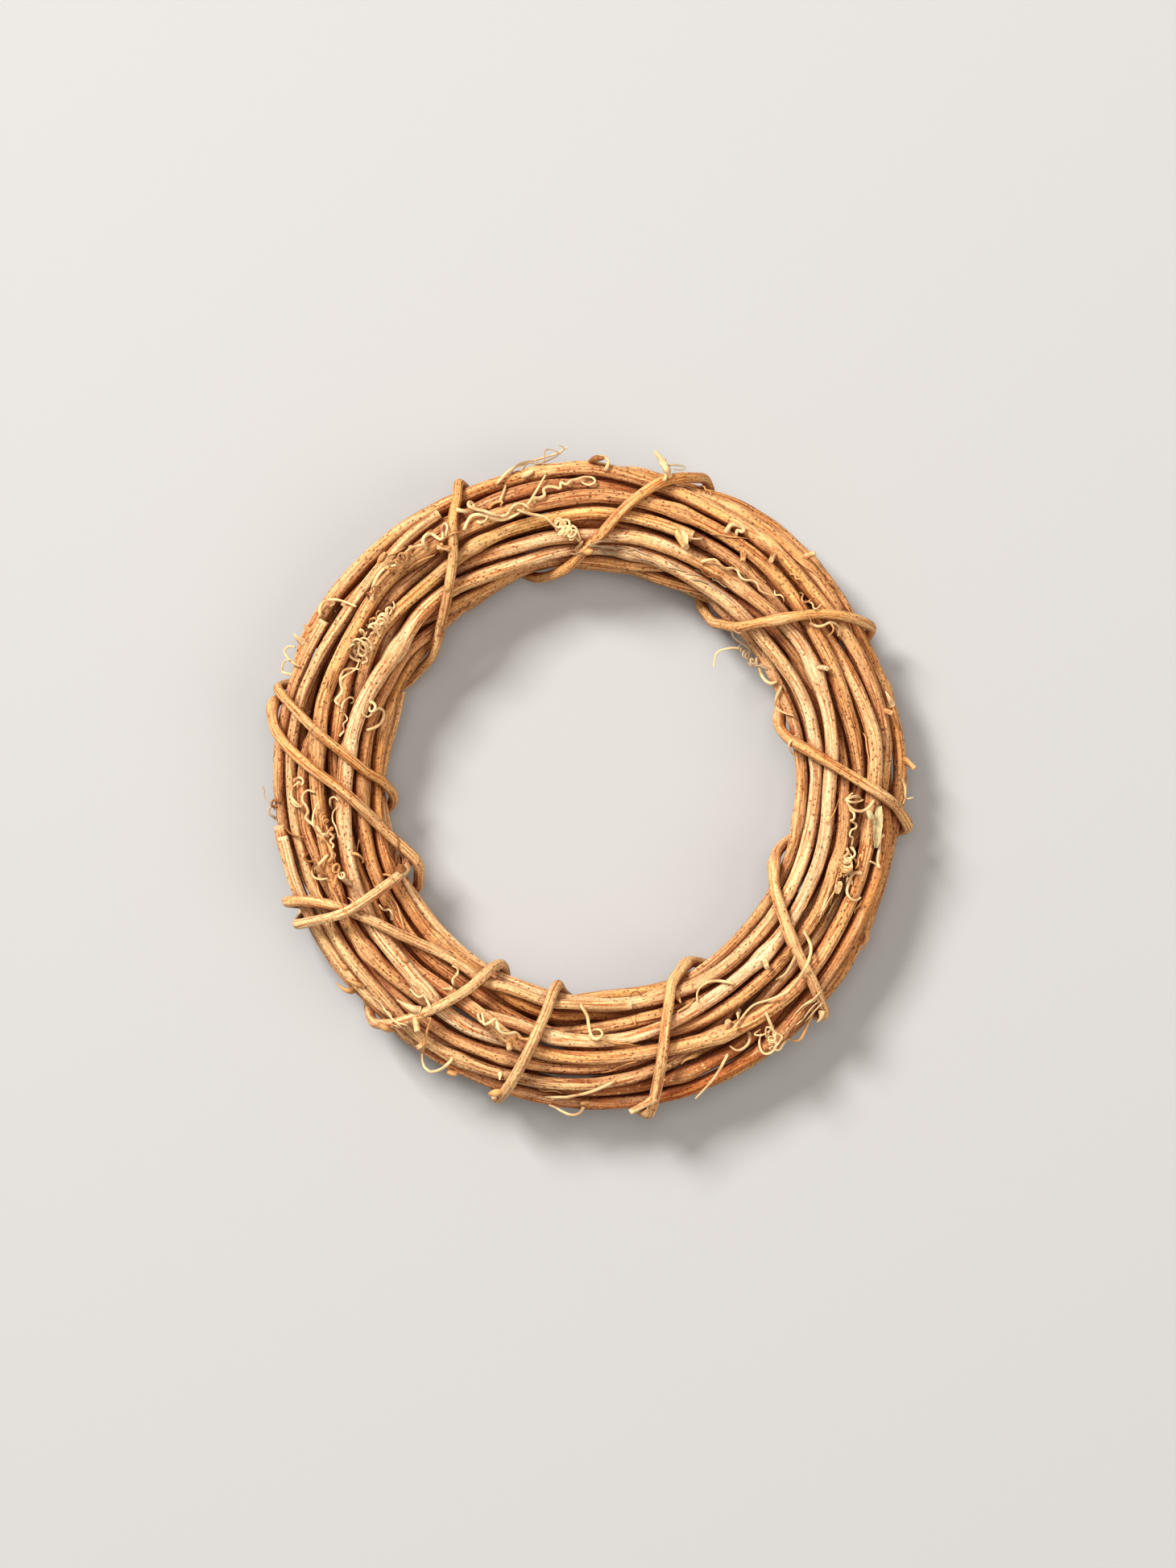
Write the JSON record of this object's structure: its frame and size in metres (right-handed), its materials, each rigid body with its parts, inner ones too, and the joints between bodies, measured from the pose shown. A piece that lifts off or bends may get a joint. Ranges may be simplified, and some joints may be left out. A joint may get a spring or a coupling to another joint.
{
  "type": "grapevine wreath",
  "caption": "Bare dried grapevine wreath: canes coiled into a ring, bound with spiralling vine, with curly tendrils and cut stubs.",
  "frame": {"origin": "centre of the bounding box, on the surface the wreath lies on", "axes": "+Z out of the front face, +Y towards the top of the wreath as it is shown, +X to its right"},
  "size_m": [0.2026, 0.2096, 0.039],
  "materials": {
    "cane_pale": "matt, pale straw, ridged dry bark",
    "cane_tan": "matt, warm tan, ridged dry bark",
    "cane_brown": "matt, brown, ridged dry bark",
    "cane_rust": "matt, rust brown, speckled bark",
    "binder_vine": "matt, honey tan, smoother young bark"
  },
  "bodies": {
    "root": {"cane_rim_top": "cane_tan", "cane_rim_right": "cane_brown", "cane_shoulder_right": "cane_tan", "cane_rim_lower": "cane_tan", "cane_rust_lower": "cane_rust", "cane_straw_left": "cane_brown", "cane_short_left": "cane_pale", "cane_crown_left": "cane_brown", "cane_long_crown": "cane_brown", "cane_crown_right": "cane_tan", "cane_inner_crown": "cane_pale", "cane_under_right": "cane_brown", "cane_thick_pale": "cane_pale", "cane_top_shelf": "cane_tan", "cane_top_under": "cane_rust", "cane_inner_right": "cane_tan", "cane_inner_left": "cane_brown", "cane_mid_left": "cane_brown", "cane_rim_left": "cane_tan", "binder_left": "binder_vine", "binder_top": "binder_vine", "binder_right": "binder_vine"}
  },
  "joints": []
}
